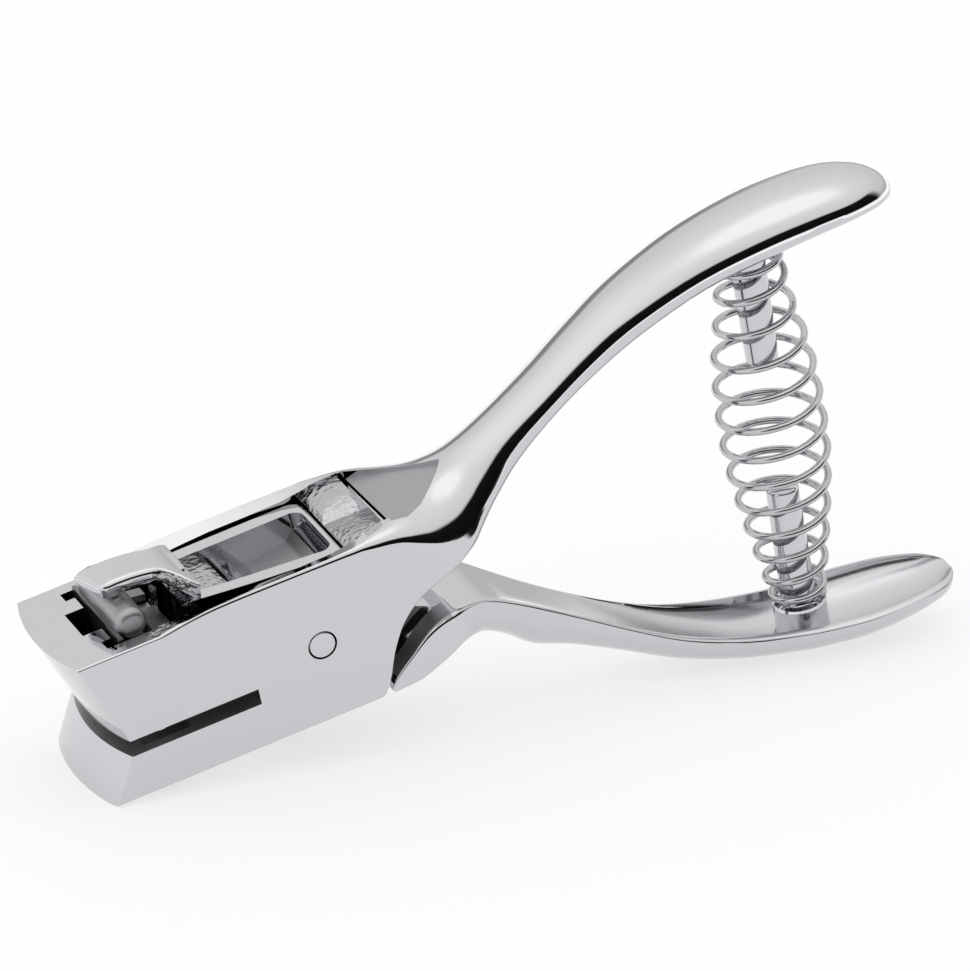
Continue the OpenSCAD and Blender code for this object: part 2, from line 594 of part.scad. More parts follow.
module main_spring() color(bright) placed() {
    rings = [for (k = [0 : curls]) wire_ring(k)];
    n = wire_sides;
    last = curls * n;
    translate([low_seat[0], 0, low_seat[1]]) rotate([0, axis_lean, 0]) translate([0, 0, seat_gap])
        polyhedron(concat([for (r = rings) each r]), concat(
            [for (i = [0 : curls - 1], j = [0 : n - 1], s = [0, 1]) let (a = i * n + j,
                b = i * n + (j + 1) % n) s == 0 ? [a, b + n, b] : [a, a + n, b + n]],
            [for (j = [1 : n - 2]) [0, j, j + 1]],
            [for (j = [1 : n - 2]) [last, last + j + 1, last + j]]));
}

frame();
lever();
pivot_pin();
punch();
cross_pin();
die_plate();
main_spring();
lower_spring_post();
upper_spring_post();
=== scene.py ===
import bpy
import bmesh
from math import acos, cos, hypot, pi, radians, sin, tan
from mathutils import Matrix, Vector


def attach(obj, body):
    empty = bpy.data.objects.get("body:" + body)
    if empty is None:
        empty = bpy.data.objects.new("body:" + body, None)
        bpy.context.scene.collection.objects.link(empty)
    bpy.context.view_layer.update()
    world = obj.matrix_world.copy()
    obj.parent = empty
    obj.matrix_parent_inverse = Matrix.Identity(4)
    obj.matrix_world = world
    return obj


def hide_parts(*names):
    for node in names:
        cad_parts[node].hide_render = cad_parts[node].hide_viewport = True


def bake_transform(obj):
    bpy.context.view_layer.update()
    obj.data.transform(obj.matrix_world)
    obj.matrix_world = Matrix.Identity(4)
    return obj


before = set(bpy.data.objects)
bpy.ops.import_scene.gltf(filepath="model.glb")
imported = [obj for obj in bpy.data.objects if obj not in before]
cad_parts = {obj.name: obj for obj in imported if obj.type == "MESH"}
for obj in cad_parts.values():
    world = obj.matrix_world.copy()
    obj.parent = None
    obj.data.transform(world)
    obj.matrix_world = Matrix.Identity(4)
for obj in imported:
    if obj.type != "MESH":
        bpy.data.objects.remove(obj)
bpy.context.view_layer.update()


# ---- Body casting ----
# One zinc die casting: two jaws with the throat between them, two cheeks round a well, a bridge, and the
# upper handle. Polished and chrome plated. The head's edges are crisp, the handle's root flows out of them.

# Sizes are in millimetres in the head's own frame: x to the rear from the toe, z up from the flat sole.
# The tool stands tipped on its toe and on the belly of the lower handle.
tip_angle = radians(13.3161)
ground_mid = 59.7814
toe_lift = 0.2543
stand = (Matrix.Translation((-ground_mid / 1000, 0, -toe_lift / 1000)) @ Matrix.Rotation(-tip_angle, 4, "Y")
         @ Matrix.Scale(0.001, 4))
half_head = 10.5
jaw_top = 21.6
well_half = 8.2


def let_go():
    """Nothing is selected, so that the next operator only finds its own piece."""
    if bpy.context.mode != "OBJECT":
        bpy.ops.object.mode_set(mode="OBJECT")
    bpy.ops.object.select_all(action="DESELECT")


def edit(piece):
    let_go()
    piece.select_set(True)
    bpy.context.view_layer.objects.active = piece
    bpy.ops.object.mode_set(mode="EDIT")


def finish_form(piece):
    """Doubles merged and faces turned outwards."""
    edit(piece)
    bpy.ops.mesh.select_all(action="SELECT")
    bpy.ops.mesh.remove_doubles(threshold=0.002)
    bpy.ops.mesh.normals_make_consistent(inside=False)
    bpy.ops.object.mode_set(mode="OBJECT")
    return piece


def half_section(a, h, cy, cs, ey, es, dip):
    """Half a section of a handle, from the middle of its closed side to the middle of its open one."""
    line = [(0, 0)]
    for i in range(13):
        q = pi / 2 * i / 12
        line.append((a - cy + cy * sin(q), cs - cs * cos(q)))
    for i in range(1, 4):
        line.append((a, cs + (h - cs - es) * i / 4))
    for i in range(8):
        q = pi / 2 * i / 7
        line.append((a - ey + ey * cos(q), h - es + es * sin(q)))
    for i in range(1, 9):
        q = pi / 2 * i / 8
        line.append(((a - ey) * cos(q), h - dip * sin(q) ** 0.8))
    return line


def hoop(station):
    """The closed ring of a station: closed side x z, open side x z, half width, corners, depth of hollow."""
    x0, z0, x1, z1, a, cy, cs, ey, es, dip = station
    h = hypot(x1 - x0, z1 - z0)
    ux, uz = (x1 - x0) / h, (z1 - z0) / h
    half = half_section(a, h, cy, cs, ey, es, dip)
    both = half + [(-y, s) for y, s in half[-2:0:-1]]
    return [Vector((x0 + s * ux, y, z0 + s * uz)) for y, s in both]


def between(stations, i, t):
    """A smooth curve through the stations."""
    b, c = stations[i], stations[i + 1]
    a = stations[i - 1] if i > 0 else [2 * p - q for p, q in zip(b, c)]
    d = stations[i + 2] if i + 2 < len(stations) else [2 * q - p for p, q in zip(b, c)]
    return [(2 * q + (r - p) * t + (2 * p - 5 * q + 4 * r - s) * t * t + (3 * q - p - 3 * r + s) * t ** 3) / 2
            for p, q, r, s in zip(a, b, c, d)]


def draw_through(name, stations, steps):
    """A handle from station to station."""
    hoops = []
    for i in range(len(stations) - 1):
        n = steps[i] if i < len(steps) else steps[-1]
        for k in range(n):
            hoops.append(hoop(between(stations, i, k / n) if n > 1 else stations[i]))
    return extrude_hoops(name, hoops + [hoop(stations[-1])])


def extrude_hoops(name, hoops):
    """A ring is added and extruded from hoop to hoop, then both ends are closed."""
    let_go()
    bpy.ops.mesh.primitive_circle_add(vertices=len(hoops[0]), radius=1)
    piece = bpy.context.object
    piece.name = name
    bpy.ops.object.mode_set(mode="EDIT")
    mesh = bmesh.from_edit_mesh(piece.data)
    seat = mesh.verts.layers.int.new("seat")
    mesh.verts.ensure_lookup_table()
    for k, v in enumerate(mesh.verts):
        v[seat] = k
        v.co = hoops[0][k]
    bmesh.update_edit_mesh(piece.data)
    bpy.ops.mesh.select_all(action="SELECT")
    bpy.ops.mesh.edge_face_add()
    for points in hoops[1:]:
        bpy.ops.mesh.extrude_region_move()
        mesh = bmesh.from_edit_mesh(piece.data)
        seat = mesh.verts.layers.int["seat"]
        for v in mesh.verts:
            if v.select:
                v.co = points[v[seat]]
        bmesh.update_edit_mesh(piece.data)
    return finish_form(piece)


def slab(outline, y0, y1):
    """A side outline as one face, extruded across the tool."""
    let_go()
    bpy.ops.mesh.primitive_circle_add(vertices=len(outline), radius=1, fill_type="NGON")
    piece = bpy.context.object
    bpy.ops.object.mode_set(mode="EDIT")
    mesh = bmesh.from_edit_mesh(piece.data)
    mesh.verts.ensure_lookup_table()
    for v, (x, z) in zip(mesh.verts, outline):
        v.co = (x, y0, z)
    bmesh.update_edit_mesh(piece.data)
    bpy.ops.mesh.select_all(action="SELECT")
    bpy.ops.mesh.extrude_region_move(TRANSFORM_OT_translate={"value": (0, y1 - y0, 0)})
    return finish_form(piece)


def block(low, high):
    let_go()
    bpy.ops.mesh.primitive_cube_add(size=1, location=[(p + q) / 2 for p, q in zip(low, high)],
                                    scale=[q - p for p, q in zip(low, high)])
    bpy.ops.object.transform_apply(location=True, rotation=True, scale=True)
    return bpy.context.object


def rod(radius, y0, y1, x, z, sides=96):
    """A round bar across the tool."""
    let_go()
    bpy.ops.mesh.primitive_cylinder_add(vertices=sides, radius=radius, depth=y1 - y0,
                                        location=(x, (y0 + y1) / 2, z), rotation=(pi / 2, 0, 0))
    bpy.ops.object.transform_apply(location=True, rotation=True, scale=True)
    return bpy.context.object


def cut(piece, tool, way="DIFFERENCE"):
    step = piece.modifiers.new("cut", "BOOLEAN")
    step.object = tool
    step.operation = way
    step.solver = "EXACT"
    let_go()
    piece.select_set(True)
    bpy.context.view_layer.objects.active = piece
    bpy.ops.object.modifier_apply(modifier=step.name)
    bpy.data.objects.remove(tool)


def soften(piece, width, angle=35, segments=3, held=True):
    """Every edge sharper than the angle gets a small round, and flat faces keep their flat light."""
    let_go()
    piece.select_set(True)
    bpy.context.view_layer.objects.active = piece
    step = piece.modifiers.new("edges", "BEVEL")
    step.width = width
    step.segments = segments
    step.limit_method = "ANGLE"
    step.angle_limit = radians(angle)
    step.use_clamp_overlap = held
    bpy.ops.object.modifier_apply(modifier=step.name)
    settle(piece)


def settle(piece, angle=32):
    let_go()
    piece.select_set(True)
    bpy.context.view_layer.objects.active = piece
    bpy.ops.object.shade_smooth_by_angle(angle=radians(angle))
    step = piece.modifiers.new("light", "WEIGHTED_NORMAL")
    step.keep_sharp = True
    bpy.ops.object.modifier_apply(modifier=step.name)
    # flats that are square to the tool keep their exact light up to their edges
    mesh = piece.data
    light = [c.vector.copy() for c in mesh.corner_normals]
    flats = {}
    for f in mesh.polygons:
        if max(abs(n) for n in f.normal) > 0.99999 and f.area > 0.5:
            for v in f.vertices:
                flats.setdefault(v, []).append(f.normal.copy())
    for f in mesh.polygons:
        for i in f.loop_indices:
            for n in flats.get(mesh.loops[i].vertex_index, ()):
                if n.dot(f.normal) > cos(radians(angle)):
                    light[i] = n
    mesh.normals_split_custom_set(light)


def put_down(piece, name, body, slot, *nodes):
    """From the head's frame to the ground, in metres, on its body and for its node."""
    piece.name = name
    piece.data.name = name
    piece.data.transform(stand)
    piece.data.update()
    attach(piece, body)
    if nodes:
        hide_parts(*nodes)


# Top line x z, sole line x z, half width, rounding of the top corners across and down, of the lower
# corners across and up, and depth of the hollow.
body_stations = [
    (-3, 21.6, -3, 0, 10.5, 0.3, 0.3, 0.3, 0.3, 0),
    (11.5, 21.6, 11.5, 0, 10.5, 0.3, 0.3, 0.3, 0.3, 0),
    (13.5, 21.75, 13.5, 0, 10.5, 0.45, 0.45, 0.3, 0.3, 0),
    (16.5, 22.25, 16.5, 0, 10.5, 0.5, 0.5, 0.3, 0.3, 0),
    (20, 22.7, 20, 0, 10.5, 0.65, 0.65, 0.3, 0.3, 0),
    (25, 22.85, 25, 0, 10.5, 0.7, 0.7, 0.3, 0.3, 0),
    (33, 22.8, 33, 0, 10.5, 0.7, 0.7, 0.3, 0.3, 0),
    (38, 22.8, 38, 0, 10.5, 0.8, 0.8, 0.3, 0.3, 0),
    (40, 22.8, 40, 0, 10.5, 0.85, 0.85, 0.3, 0.3, 0),
    (40.9, 22.8, 40.9, 0.75, 10.5, 0.9, 0.9, 0.3, 0.3, 0),
    (41.9, 22.85, 41.9, 2.8, 10.5, 1, 1, 0.3, 0.3, 0),
    (43, 22.9, 42.95, 5.6, 10.5, 1.3, 1.3, 0.3, 0.3, 0),
    (44.3, 22.95, 44.45, 8.4, 10.5, 1.8, 1.6, 0.3, 0.3, 0),
    (45.6, 23, 45.85, 10.1, 10.5, 2.2, 1.9, 0.35, 0.35, 0),
    (47.3, 23.05, 48.1, 11.9, 10.5, 3.1, 2.5, 0.4, 0.4, 0),
    (49.3, 23.1, 51, 13, 10.45, 4.5, 3.9, 0.6, 0.6, 0),
    (51.4, 23.15, 54.2, 13.7, 10, 6, 5.4, 1.1, 1, 0),
    (53.9, 23.35, 57.8, 14.8, 8.6, 6.6, 6.1, 1.6, 1.4, 0),
    (56.3, 23.75, 60.4, 16.4, 7.2, 6.3, 5.9, 1.9, 1.7, 0),
    (59.3, 24.6, 63.1, 18.5, 6.1, 6.05, 5.2, 2, 1.7, 0),
    (64.1, 26.6, 67.5, 22, 5.1, 5.1, 4, 1.8, 1.5, 0),
    (71.6, 30.4, 74, 26.4, 5, 5, 3.2, 1.8, 1.3, 0.1),
    (78.8, 34.7, 81, 30.2, 5.3, 5.3, 3.4, 1.8, 1.4, 1.2),
    (86.1, 38.5, 88, 33.3, 5.9, 5.9, 3.8, 1.9, 1.5, 3.5),
    (95.8, 41.8, 97, 36.1, 6.6, 6.6, 4.2, 1.9, 1.6, 3.9),
    (105.4, 43.4, 106, 37.2, 7.1, 7.1, 4.5, 1.9, 1.7, 4.3),
    (112.9, 43.6, 113, 37.6, 7.1, 7.1, 4.4, 1.9, 1.6, 4.1),
    (118.8, 43, 118.5, 37.5, 6.6, 6.6, 4, 1.9, 1.5, 3.4),
    (122.9, 41.7, 122.5, 37.1, 5.1, 5.1, 3.3, 1.7, 1.3, 1.4),
    (125.1, 40.2, 124.9, 36.9, 3.3, 3.3, 2.3, 1.4, 1, 0.4),
    (126, 38.9, 126.1, 37, 1.5, 1.5, 1.3, 0.7, 0.6, 0.1),
    (126.25, 38.2, 126.3, 37.6, 0.5, 0.5, 0.4, 0.2, 0.2, 0)]
body = draw_through("body_casting", body_stations, [1, 3, 3, 3, 3, 1, 1, 1, 2, 2, 2, 3, 3, 3, 4])

# The jaws' fronts: bulged in plan and leaning, with the lip of the lower jaw set back
nose_r = (half_head ** 2 + 1.7 ** 2) / (2 * 1.7)
drums = []


def front_waste(x, z, lean, low, high):
    """What is milled away in front of a leaning, bulged face."""
    waste = block((-30, -20, low), (12, 20, high))
    let_go()
    bpy.ops.mesh.primitive_cylinder_add(vertices=512, radius=nose_r, depth=160)
    drum = bpy.context.object
    seat = Matrix.Translation((x, 0, z)) @ Matrix.Rotation(-lean, 4, "Y") @ Matrix.Translation((nose_r, 0, 0))
    drum.data.transform(seat @ Matrix.Rotation(radians(180 / 512), 4, "Z"))
    drums.append(seat)
    cut(waste, drum)
    return waste


cut(body, front_waste(-0.7, 21.6, acos(13 / hypot(13, 4.5)), 7.45, 30))
cut(body, front_waste(0, 0, -acos(6.3 / hypot(6.3, 3.5)), -5, 7.45))
cut(body, block((-5, -20, 6.3), (23.9, 20, 8.6)))
# the toe's edge is worn level with the ground
cut(body, slab([(1.104, 0), (-5, 1.444), (-5, -3), (1.104, -3)], -20, 20))

# The well between the cheeks, with the web between the jaws left in and the tabs of the guide's front
well = slab([(7.6, 40), (7.6, 11.6), (19.5, 11.6), (19.5, 10.6), (26.6, 10.6), (26.6, -3), (60, -3),
             (60, 11.4), (48.8, 13), (44.8, 13.6), (40.8, 13.6), (40.8, 40)], -well_half, well_half)
cut(body, well)
for y0, y1, x in ((-3.2, 3.2, 4.9), (-8.2, -6.2, 6.3), (6.2, 8.2, 6.3)):
    cut(body, block((x, y0, 11.6), (7.7, y1, 40)))



# the tops of the cheeks fall inwards: place along the head, height outside and inside
cheek_fall = [(14.2, 22, 21.95), (17, 22.33, 21.35), (20, 22.7, 21.5), (25, 22.87, 21.85), (28, 22.85, 22), (33, 22.82, 22),
              (38, 22.82, 22.1), (40.9, 22.85, 22.45), (43.5, 23, 23)]
for side in (-1, 1):
    cut(body, extrude_hoops("fall", [[Vector((x, side * y, z)) for y, z in
                                      ((10.3, top - 0.09 * (top - low)), (7.9, low - 0.13 * (top - low)), (7.9, 30), (10.3, 30))]
                                     for x, top, low in cheek_fall]))


def upright(outline, low, high):
    """A plan outline as one face, extruded upwards."""
    let_go()
    bpy.ops.mesh.primitive_circle_add(vertices=len(outline), radius=1, fill_type="NGON")
    piece = bpy.context.object
    bpy.ops.object.mode_set(mode="EDIT")
    mesh = bmesh.from_edit_mesh(piece.data)
    mesh.verts.ensure_lookup_table()
    for v, (x, y) in zip(mesh.verts, outline):
        v.co = (x, y, low)
    bmesh.update_edit_mesh(piece.data)
    bpy.ops.mesh.select_all(action="SELECT")
    bpy.ops.mesh.extrude_region_move(TRANSFORM_OT_translate={"value": (0, 0, high - low)})
    return finish_form(piece)


# The bridge behind the well: its top rolls off to the front and dips towards the near cheek, a groove crosses it, and
# behind the groove a sunk three-cornered flat runs out in the crown of the handle's root
bridge_plan = [(40.7, 8.2), (40.7, -8.2), (43, -7.7), (46.4, -6.8), (46.4, 8.2)]
front_roll = slab([(40.7, 20.9), (41.2, 21.6), (42, 22.05), (43.4, 22.35), (46.5, 22.45), (46.5, 30), (40.7, 30)], -9, 9)
cut(front_roll, upright(bridge_plan, 10, 40), "INTERSECT")
cut(body, front_roll)
side_roll = slab([(9, 22.5), (4.5, 22.35), (2, 21.9), (0.7, 21), (-7, 22.75), (-9, 23.2), (-9, 30), (9, 30)], -46.4, -40.7)
side_roll.data.transform(Matrix.Rotation(pi / 2, 4, "Z"))
cut(side_roll, upright(bridge_plan, 10, 40), "INTERSECT")
cut(body, side_roll)
cut(body, upright([(46.3, 8), (46.7, -6.9), (47.7, -6.9), (47.3, 8)], 17, 40))
flat = slab([(46.9, 21.8), (60, 23.75), (60, 40), (46.9, 40)], -9, 9)
cut(flat, upright([(47, 8), (47.4, -7.8), (49.6, -7.8), (52.3, -6.1), (54.9, -3.6), (57, -1.5), (58, 0), (52.4, 4.4)],
                  10, 40), "INTERSECT")
cut(body, flat)

# Openings for the blade, the die and the slugs, and the bore of the pivot
cut(body, block((9.54, -7.06, 8), (12.66, 7.06, 12)))
cut(body, block((7.7, -8.9, 3.3), (14.5, 8.9, 7)))
cut(body, block((9.1, -7.5, -1), (13.1, 7.5, 3.4)))
soften(body, 0.22)
cut(body, rod(2.02, -20, 20, 33.7, 11.1))
settle(body)
# the bulged fronts shine as true cylinders
light = [c.vector.copy() for c in body.data.corner_normals]
for f in body.data.polygons:
    for seat in drums:
        around = seat.inverted() @ f.center
        true = (seat.to_3x3() @ Vector((around.x, around.y, 0))).normalized()
        if abs(hypot(around.x, around.y) - nose_r) < 0.02 and true.dot(f.normal) > 0.999:
            for i in f.loop_indices:
                around = seat.inverted() @ body.data.vertices[body.data.loops[i].vertex_index].co
                light[i] = (seat.to_3x3() @ Vector((around.x, around.y, 0))).normalized()
body.data.normals_split_custom_set(light)
sunk = [f.index for f in body.data.polygons if 40.8 < f.center.x < 46.4 and abs(f.center.y) < 8.15
        and f.center.z > 18 and f.normal.z > 0.4
        or 9.5 < f.center.x < 17 and -10.1 < f.center.y < -8.1 and f.center.z > 21.4 and f.normal.z > 0.8]
dulled = [f.index for f in body.data.polygons if 46.8 < f.center.x < 58.2 and abs(f.center.y) < 8 and f.center.z > 21.5
          and abs(f.normal.z - cos(0.148)) < 0.001 and abs(f.normal.y) < 0.01
          or f.center.x < 23.8 and 6.2 < f.center.z < 8.7 and abs(f.normal.z) > 0.9]
put_down(body, "body_casting", "frame", "chrome_casting", "frame")

# Bright chrome over a polished die casting: a mirror with a breath of polishing haze, and in the
# corners that no wheel reaches the grain of the casting shows through the plate.


def as_light(code):
    """An sRGB hex colour as linear values."""
    parts = [int(code[i:i + 2], 16) / 255 for i in (0, 2, 4)]
    return [p / 12.92 if p <= 0.04045 else ((p + 0.055) / 1.055) ** 2.4 for p in parts] + [1]


def add(tree, kind, values=(), **settings):
    """One node with its settings; values are (socket, value or link)."""
    node = tree.nodes.new(kind)
    for key, value in settings.items():
        setattr(node, key, value)
    for socket, value in values:
        if isinstance(value, bpy.types.NodeSocket):
            tree.links.new(value, node.inputs[socket])
        else:
            node.inputs[socket].default_value = value
    return node


def new_finish(name):
    finish = bpy.data.materials.new(name)
    finish.use_nodes = True
    tree = finish.node_tree
    shader = tree.nodes["Principled BSDF"]
    place = add(tree, "ShaderNodeTexCoord").outputs["Object"]
    return finish, tree, shader, place


plated, tree, shader, place = new_finish("bright_chrome_plate")
shader.inputs["Base Color"].default_value = as_light("CBCCCE")
shader.inputs["Metallic"].default_value = 1
# polishing haze in patches of about 8 mm
haze = add(tree, "ShaderNodeTexNoise", [("Vector", place), ("Scale", 120.0), ("Detail", 3.0)])
shine = add(tree, "ShaderNodeMapRange", [("Value", haze.outputs["Fac"]), ("From Min", 0.35), ("From Max", 0.7),
                                         ("To Min", 0.035), ("To Max", 0.07)])
tree.links.new(shine.outputs["Result"], shader.inputs["Roughness"])

# the same plate over the raw skin of the casting, in the places no wheel reaches: grain of about 1 mm
as_cast, tree, shader, place = new_finish("rough_cast_chrome_plate")
shader.inputs["Base Color"].default_value = as_light("B4B5B7")
shader.inputs["Metallic"].default_value = 1
shader.inputs["Roughness"].default_value = 0.16
grain = add(tree, "ShaderNodeTexNoise", [("Vector", place), ("Scale", 1300.0), ("Detail", 2.0), ("Roughness", 0.4)])
relief = add(tree, "ShaderNodeBump", [("Height", grain.outputs["Fac"]), ("Strength", 1.0), ("Distance", 0.00022)])
tree.links.new(relief.outputs["Normal"], shader.inputs["Normal"])

# dull plate on the flat that is milled but never polished
dull, tree, shader, place = new_finish("dull_chrome_plate")
shader.inputs["Base Color"].default_value = as_light("A9AAAC")
shader.inputs["Metallic"].default_value = 1
mist = add(tree, "ShaderNodeTexNoise", [("Vector", place), ("Scale", 400.0), ("Detail", 3.0)])
veil = add(tree, "ShaderNodeMapRange", [("Value", mist.outputs["Fac"]), ("To Min", 0.38), ("To Max", 0.5)])
tree.links.new(veil.outputs["Result"], shader.inputs["Roughness"])

body.data.materials.clear()
for finish in (plated, as_cast, dull):
    body.data.materials.append(finish)
for i in sunk:
    body.data.polygons[i].material_index = 1
for i in dulled:
    body.data.polygons[i].material_index = 2


# ---- Lever casting ----
# The second die casting: a rocker arm with a claw at its nose, a channel, a hub on the pivot, and the
# spoon-shaped lower handle that swells out of a broad shoulder. Plated like the body.

claw_slope = radians(8.3)
bar_x, bar_z, bar_r = 11.1, 22.6, 1.95


def at_claw(u, v):
    """From the claw's own frame at the bar to the head's frame."""
    return (bar_x + u * cos(claw_slope) + v * sin(claw_slope), bar_z - u * sin(claw_slope) + v * cos(claw_slope))


def arc(x, z, r, start, end, n):
    return [(x + r * cos(radians(start + (end - start) * i / n)), z + r * sin(radians(start + (end - start) * i / n)))
            for i in range(n + 1)]



arm = slab([(17.9, 22.35), (28, 21.85), (35, 21.6), (39.6, 21.4)] + arc(39.9, 20.8, 0.6, 95, 0, 5) +
           [(40.5, 13.6), (40.9, 12), (46, 9.5), (50, 7.7), (50, 4), (44, 1.8), (41.6, 1.4)] +
           arc(33.7, 11.1, 6.6, -62, -165, 16) + [(27.4, 13.4), (24.6, 14.4), (18, 17.4)], -7.95, 7.95)
# seen from above the two rails spread to the rear and end in round corners
arm_edge = [(17.8, 6.3), (20, 6.45), (24, 6.85), (28, 7.2), (35, 7.65), (37.9, 7.85)] + arc(38.3, 5.7, 2.2, 90, 10, 6)
cut(arm, upright(arm_edge + [(50.5, 6), (50.5, -6)] + [(x, -y) for x, y in arm_edge[::-1]], -5, 30), "INTERSECT")
hollow = slab([(20.4, 30), (20.4, 22.5), (21.1, 21.75), (22.5, 21.15), (25.2, 20.85), (30.5, 17.15), (36.5, 17.6), (38.2, 18.8),
               (39.4, 20.5), (39.8, 21.2), (39.9, 30)], -6, 6)
hollow_edge = [(20.2, 4.3), (24, 4.8), (32, 5.35), (37, 5.7)] + arc(38, 4.2, 1.6, 90, 0, 5)
cut(hollow, upright(hollow_edge + [(x, -y) for x, y in hollow_edge[::-1]], 10, 40), "INTERSECT")
cut(arm, hollow)
cut(arm, rod(6, -8, 8, 33.7, 11.1), "UNION")

# The claw in its own frame at the bar: a plate with a round edge, a narrower hook at its nose, a root that
# widens, a pad above the bar and a lower jaw
# along the claw: place, top and underside, half width, rounding of the edges
claw_stations = [(-3.75, 3.4, 3, 2, 0.2), (-3.62, 3.85, 2.75, 2.5, 0.4), (-3.2, 4.22, 2.75, 2.9, 0.6), (-2.4, 4.48, 2.9, 3.1, 0.75),
                 (-1.2, 4.74, 3.05, 3.1, 0.8), (0.5, 4.96, 3.05, 3.1, 0.8), (2.2, 5.07, 3.05, 3.1, 0.8),
                 (4.2, 5.05, 3.05, 3.12, 0.8), (5.2, 4.9, 2.8, 3.25, 0.8), (6.2, 4.6, 2.2, 3.7, 0.75),
                 (7.6, 4, 1.4, 4.9, 0.7), (8.6, 3.45, 0.9, 5.8, 0.6), (9.5, 2.95, 0.4, 6.2, 0.5)]
plate = draw_through("claw", [at_claw(u, top) + at_claw(u, low) + (half, r, r, r, r, 0)
                              for u, top, low, half, r in claw_stations], [2])
hook = slab([at_claw(*p) for p in [(-3.55, 3.6), (-3.5, 2.6), (-3.1, 2.4), (-1.2, 2.42), (-0.7, 2.6), (-0.35, 3), (-0.3, 3.6)]],
            -2.9, 2.9)
cut(plate, hook, "UNION")
# the nose is cut a little askew
for v in plate.data.vertices:
    v.co.x -= 0.28 * v.co.y * min(max((11.5 - v.co.x) / 3.5, 0), 1)
settle(plate)
pad = slab([at_claw(*p) for p in [(-1.9, 3.8), (-1.6, 2.55), (4.2, 2.55), (5, 1.7), (8.9, 1.27), (8.9, 3.6)]], -2.5, 2.5)
cut(plate, pad, "UNION")
# the jaw is wide behind the block and narrow inside the block's gap, clear of both through the whole stroke
jaw = slab([at_claw(*p) for p in [(6.5, 2.1), (6.5, -4.3), (8.6, -4.6), (8.7, 2.1)]], -3, 3)
cut(plate, jaw, "UNION")
lip = slab([at_claw(*p) for p in [(5.2, 2.1), (5.2, -1.7), (4.8, -2.12), (-0.1, -2.12), (-0.1, -3.27), (7, -4.3), (7, 2.1)]],
           -1.4, 1.4)
cut(plate, lip, "UNION")
cut(arm, plate, "UNION")
cut(arm, rod(2.05, -20, 20, 33.7, 11.1))
soften(arm, 0.25)
raw_root = {tuple(round(c, 3) for c in f.center) for f in arm.data.polygons
            if 15.6 < f.center.x < 20.7 and f.center.z < 26.6 and f.normal.z < 0.75 and abs(f.center.y) < 6.6}
raw_floor = {tuple(round(c, 3) for c in f.center) for f in arm.data.polygons
             if 20.3 < f.center.x < 25.2 and abs(f.center.y) < 5.3 and f.center.z < 21.6 and f.normal.z > 0.3}

# Keel line x z, rim line x z, half width, rounding of the keel across and up, of the rim, and depth of the dish
spoon_stations = [
    (41.9, 0.1, 41.5, 0.5, 10.5, 0.1, 0.1, 0.1, 0.1, 0),
    (43.4, 0, 42.5, 2.1, 10.5, 0.5, 0.5, 0.3, 0.3, 0),
    (45.7, 0.1, 45.4, 4.4, 10.5, 0.6, 0.6, 0.4, 0.4, 0),
    (48.6, 1, 47.6, 6.2, 10.5, 0.8, 0.8, 0.6, 0.6, 0),
    (50.9, 1.9, 50, 7.5, 10.5, 1, 1, 0.9, 0.8, 0),
    (52.7, 2.2, 52.4, 7.7, 10, 1.6, 1.4, 1, 0.8, 0),
    (55, 1.2, 55.4, 6.9, 8.3, 2.6, 2.2, 0.9, 0.6, 0),
    (57.2, -0.4, 58.4, 5.3, 6.6, 3.4, 3, 0.7, 0.5, 0),
    (60.5, -3.2, 62, 2.6, 5.4, 4, 4, 0.5, 0.4, 0.1),
    (64, -6.6, 66.5, -0.9, 4.6, 3.8, 4.2, 0.45, 0.35, 0.1),
    (69.2, -9.2, 72, -5, 4.4, 3.9, 3.9, 0.45, 0.35, 0.2),
    (75.8, -13.1, 78, -9.2, 4.8, 4.5, 3.8, 0.6, 0.4, 0.8),
    (82.6, -17.2, 84.5, -13, 5.7, 5.5, 4, 0.8, 0.5, 1.9),
    (90.7, -20.7, 92, -16, 6.5, 6.4, 4.3, 0.9, 0.6, 3.2),
    (98.1, -22.9, 99, -17.9, 7, 6.9, 4.6, 1, 0.6, 3.6),
    (102.4, -23.8, 103.2, -18.7, 7.4, 7.3, 4.7, 1, 0.6, 3.7),
    (109, -24.6, 109.5, -19.5, 7.8, 7.7, 4.7, 1, 0.6, 3.6),
    (115.6, -24.6, 116, -20.1, 7, 6.9, 4.2, 1, 0.6, 3),
    (120.2, -24.2, 120.5, -20.6, 5.5, 5.4, 3.2, 1, 0.6, 2.1),
    (122.3, -23.5, 122.5, -20.9, 3.9, 3.8, 2.2, 0.9, 0.5, 1.1),
    (123.4, -22.7, 123.6, -21.1, 1.9, 1.9, 1.4, 0.5, 0.4, 0.2),
    (123.9, -22, 123.9, -21.5, 0.5, 0.5, 0.3, 0.2, 0.1, 0)]
spoon = draw_through("spoon", spoon_stations, [2, 2, 2, 3, 4])
settle(spoon)
cut(arm, spoon, "UNION")
settle(arm)
milled = [f.index for f in arm.data.polygons if 30.6 < f.center.x < 38.6 and abs(f.center.y) < 6 and f.normal.z > 0.8
          and 17 < f.center.z < 19 or 12.4 < f.center.x < 16.4 and abs(f.center.y) < 1.5 and 19.5 < f.center.z < 22
          and f.normal.z > 0.8 or 42.3 < f.center.x < 51.5 and 6.9 < abs(f.center.y) < 10.3 and 0.3 < f.center.z < 8
          and f.normal.z > 0.3]
dished = [f.index for f in arm.data.polygons if f.center.x > 58 and f.normal.z > 0.2]
raw = [f.index for f in arm.data.polygons if tuple(round(c, 3) for c in f.center) in raw_root | raw_floor]
put_down(arm, "lever_casting", "lever", "chrome_casting", "lever")
arm.data.materials.clear()
arm.data.materials.append(plated)
arm.data.materials.append(as_cast)
arm.data.materials.append(dull)

